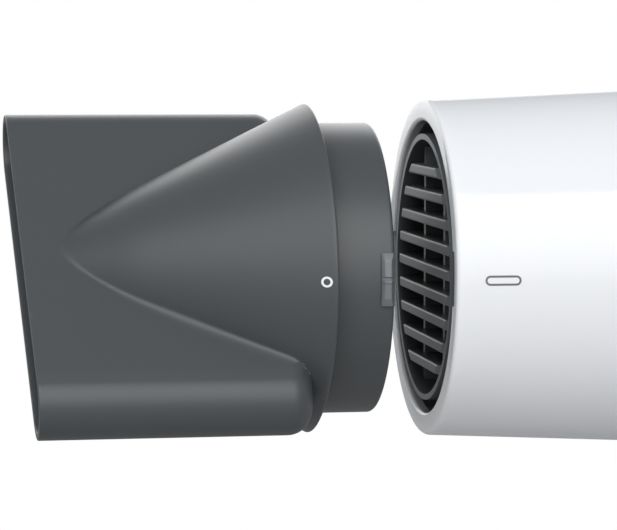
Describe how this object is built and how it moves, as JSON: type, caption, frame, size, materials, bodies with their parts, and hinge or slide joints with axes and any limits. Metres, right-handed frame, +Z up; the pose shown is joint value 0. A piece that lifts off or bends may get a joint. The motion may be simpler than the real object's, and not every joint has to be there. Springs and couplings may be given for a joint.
{
  "type": "hair dryer",
  "caption": "Hand-held hair dryer with a tapered round barrel, slatted outlet, upright handle and a push-on flat concentrator nozzle, shown pulled off.",
  "frame": {"origin": "centre of the barrel's front opening, on the barrel's axis", "axes": "+X to the rear along the barrel, +Y to the side away from the fitting marks, +Z up"},
  "size_m": [0.2424, 0.082, 0.2225],
  "materials": {
    "gloss_white": "polished white housing plastic",
    "graphite": "fine satin dark grey plastic",
    "mark_grey": "printed grey outline",
    "mark_white": "printed white ring",
    "mica": "mica sheet",
    "heater_wire": "resistance wire",
    "steel": "plain steel",
    "nylon": "heat-resistant nylon",
    "switch_black": "black switch housing",
    "board": "circuit board",
    "rubber": "soft black rubber",
    "mesh": "woven filter mesh"
  },
  "bodies": {
    "dryer": {"barrel_shell": "gloss_white", "handle_neck": "gloss_white", "alignment_mark": "mark_grey", "outlet_liner": "graphite", "outlet_grille": "graphite", "mica_tube": "mica", "mica_board_upright": "mica", "mica_board_level": "mica", "heater_coil_outer": "heater_wire", "heater_coil_inner": "heater_wire", "thermostat": "steel", "thermal_fuse": "steel", "fan_duct": "nylon", "motor_can": "steel", "motor_end_cap": "nylon", "rectifier_board": "board", "rear_ring": "graphite", "handle_half_left": "gloss_white", "handle_half_right": "gloss_white", "handle_screws": "steel", "screw_caps": "gloss_white", "end_cap": "graphite", "cord_gland": "rubber", "cord_clamp": "nylon", "clamp_screws": "steel", "loop_pin": "steel", "control_panel": "graphite", "speed_switch": "switch_black", "heat_switch": "switch_black", "cool_switch": "switch_black", "button_spring": "steel", "circuit_board": "board"},
    "nozzle_collar": {"nozzle_collar": "graphite", "nozzle_latches": "graphite", "retaining_ring": "steel"},
    "nozzle_shell": {"nozzle_shell": "graphite", "nozzle_mark": "mark_white"},
    "fan_rotor": {"fan_impeller": "nylon", "motor_shaft": "steel"},
    "intake_cover": {"intake_cover": "gloss_white", "filter_screen": "mesh", "filter_ring": "graphite"},
    "speed_slider": {"speed_slider": "gloss_white"},
    "heat_slider": {"heat_slider": "gloss_white"},
    "cool_button": {"cool_button": "gloss_white"},
    "hanging_loop": {"hanging_loop": "graphite"}
  },
  "joints": [
    {"name": "nozzle_push_on", "type": "slide", "parent": "dryer", "child": "nozzle_collar", "axis": [1, 0, 0], "range_m": [0, 0.02263]},
    {"name": "nozzle_swivel", "type": "hinge", "parent": "nozzle_collar", "child": "nozzle_shell", "pos_m": [0, 0, 0], "axis": [1, 0, 0], "continuous": true},
    {"name": "fan_spin", "type": "hinge", "parent": "dryer", "child": "fan_rotor", "pos_m": [0, 0, 0], "axis": [1, 0, 0], "continuous": true},
    {"name": "cover_pull_off", "type": "slide", "parent": "dryer", "child": "intake_cover", "axis": [1, 0, 0], "range_m": [0, 0.014]},
    {"name": "speed_slide", "type": "slide", "parent": "dryer", "child": "speed_slider", "axis": [0, 0, 1], "range_m": [0, 0.008]},
    {"name": "heat_slide", "type": "slide", "parent": "dryer", "child": "heat_slider", "axis": [0, 0, 1], "range_m": [0, 0.008]},
    {"name": "cool_press", "type": "slide", "parent": "dryer", "child": "cool_button", "axis": [-1, 0, 0], "range_m": [0, 0.002], "stiffness_N_per_m": 400, "springref_m": -0.001, "deforming": ["button_spring"]},
    {"name": "loop_swing", "type": "hinge", "parent": "dryer", "child": "hanging_loop", "pos_m": [0.1046, 0, -0.159], "axis": [0, 1, 0], "range_deg": [-95, 10]}
  ]
}
